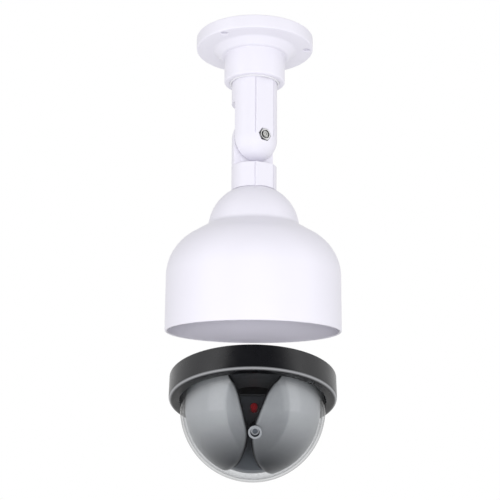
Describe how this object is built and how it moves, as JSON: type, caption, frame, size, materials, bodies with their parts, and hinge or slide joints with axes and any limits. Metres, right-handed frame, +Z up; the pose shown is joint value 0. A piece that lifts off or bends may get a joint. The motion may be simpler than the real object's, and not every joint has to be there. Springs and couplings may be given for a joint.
{
  "type": "dome cctv camera",
  "caption": "Dummy dome security camera: a ceiling flange and swivelling elbow arm carry a white bell, and a ringed clear-dome camera unit with a red lamp pulls out below it.",
  "frame": {"origin": "centre of the flange's ceiling face", "axes": "+Z up into the ceiling, -Y to the front, where the elbow's nut and the lens are seen, +X to the right seen from the front"},
  "size_m": [0.122, 0.122, 0.3175],
  "materials": {
    "white_plastic": "satin moulded",
    "nylon": "matte",
    "black_plastic": "gloss moulded",
    "dark_plastic": "matte moulded",
    "clear_plastic": "clear polished",
    "silver_paint": "silver sprayed",
    "steel": "zinc plated",
    "lens_glass": "polished",
    "red_led": "polished",
    "board_green": "lacquered",
    "component_black": "matte",
    "resistor_body": "lacquered",
    "cell_can": "plastic sleeve over metal",
    "lead_red": "satin",
    "lead_black": "satin"
  },
  "bodies": {
    "ceiling_mount": {"ceiling_flange": "white_plastic", "collar_bush": "nylon", "swivel_washer": "steel"},
    "upper_arm": {"upper_arm": "white_plastic", "swivel_screw": "steel", "elbow_bolt": "steel", "elbow_nut": "steel", "elbow_washer": "nylon"},
    "lower_arm": {"lower_arm": "white_plastic", "bell_housing": "white_plastic", "housing_screw_1": "steel", "housing_screw_2": "steel", "bolt_head_washer": "steel"},
    "camera_unit": {"bezel_ring": "black_plastic", "clear_dome": "clear_plastic", "base_plate": "dark_plastic", "base_screw_1": "steel", "base_screw_2": "steel", "base_screw_3": "steel", "liner_left": "silver_paint", "liner_right": "silver_paint", "lens_barrel": "dark_plastic", "lens_ring": "steel", "lens_glass": "lens_glass", "led_panel": "dark_plastic", "panel_screw_1": "steel", "panel_screw_2": "steel", "led": "red_led", "circuit_board": "board_green", "flasher_chip": "component_black", "capacitor": "component_black", "resistor": "resistor_body", "battery_box": "black_plastic", "box_screw_1": "steel", "box_screw_2": "steel", "battery_1": "cell_can", "battery_2": "cell_can", "battery_spring_1": "steel", "battery_spring_2": "steel", "contact_1": "steel", "contact_2": "steel", "contact_bridge": "steel", "wire_red": "lead_red", "wire_black": "lead_black"},
    "battery_door": {"battery_door": "black_plastic"}
  },
  "joints": [
    {"name": "arm_swivel", "type": "hinge", "parent": "ceiling_mount", "child": "upper_arm", "pos_m": [0, 0, -0.0262], "axis": [0, 0, 1], "continuous": true},
    {"name": "elbow_tilt", "type": "hinge", "parent": "upper_arm", "child": "lower_arm", "pos_m": [0, 0, -0.0775], "axis": [0.4924, -0.8704, 0], "range_deg": [-90, 90]},
    {"name": "camera_pull_out", "type": "hinge", "parent": "lower_arm", "child": "camera_unit", "pos_m": [0, -0.1558, -0.2199], "axis": [1, 0, 0], "range_deg": [0, 18.1]},
    {"name": "battery_door_lift", "type": "slide", "parent": "camera_unit", "child": "battery_door", "axis": [0, 0.3107, 0.9505], "range_m": [0, 0.012]}
  ]
}
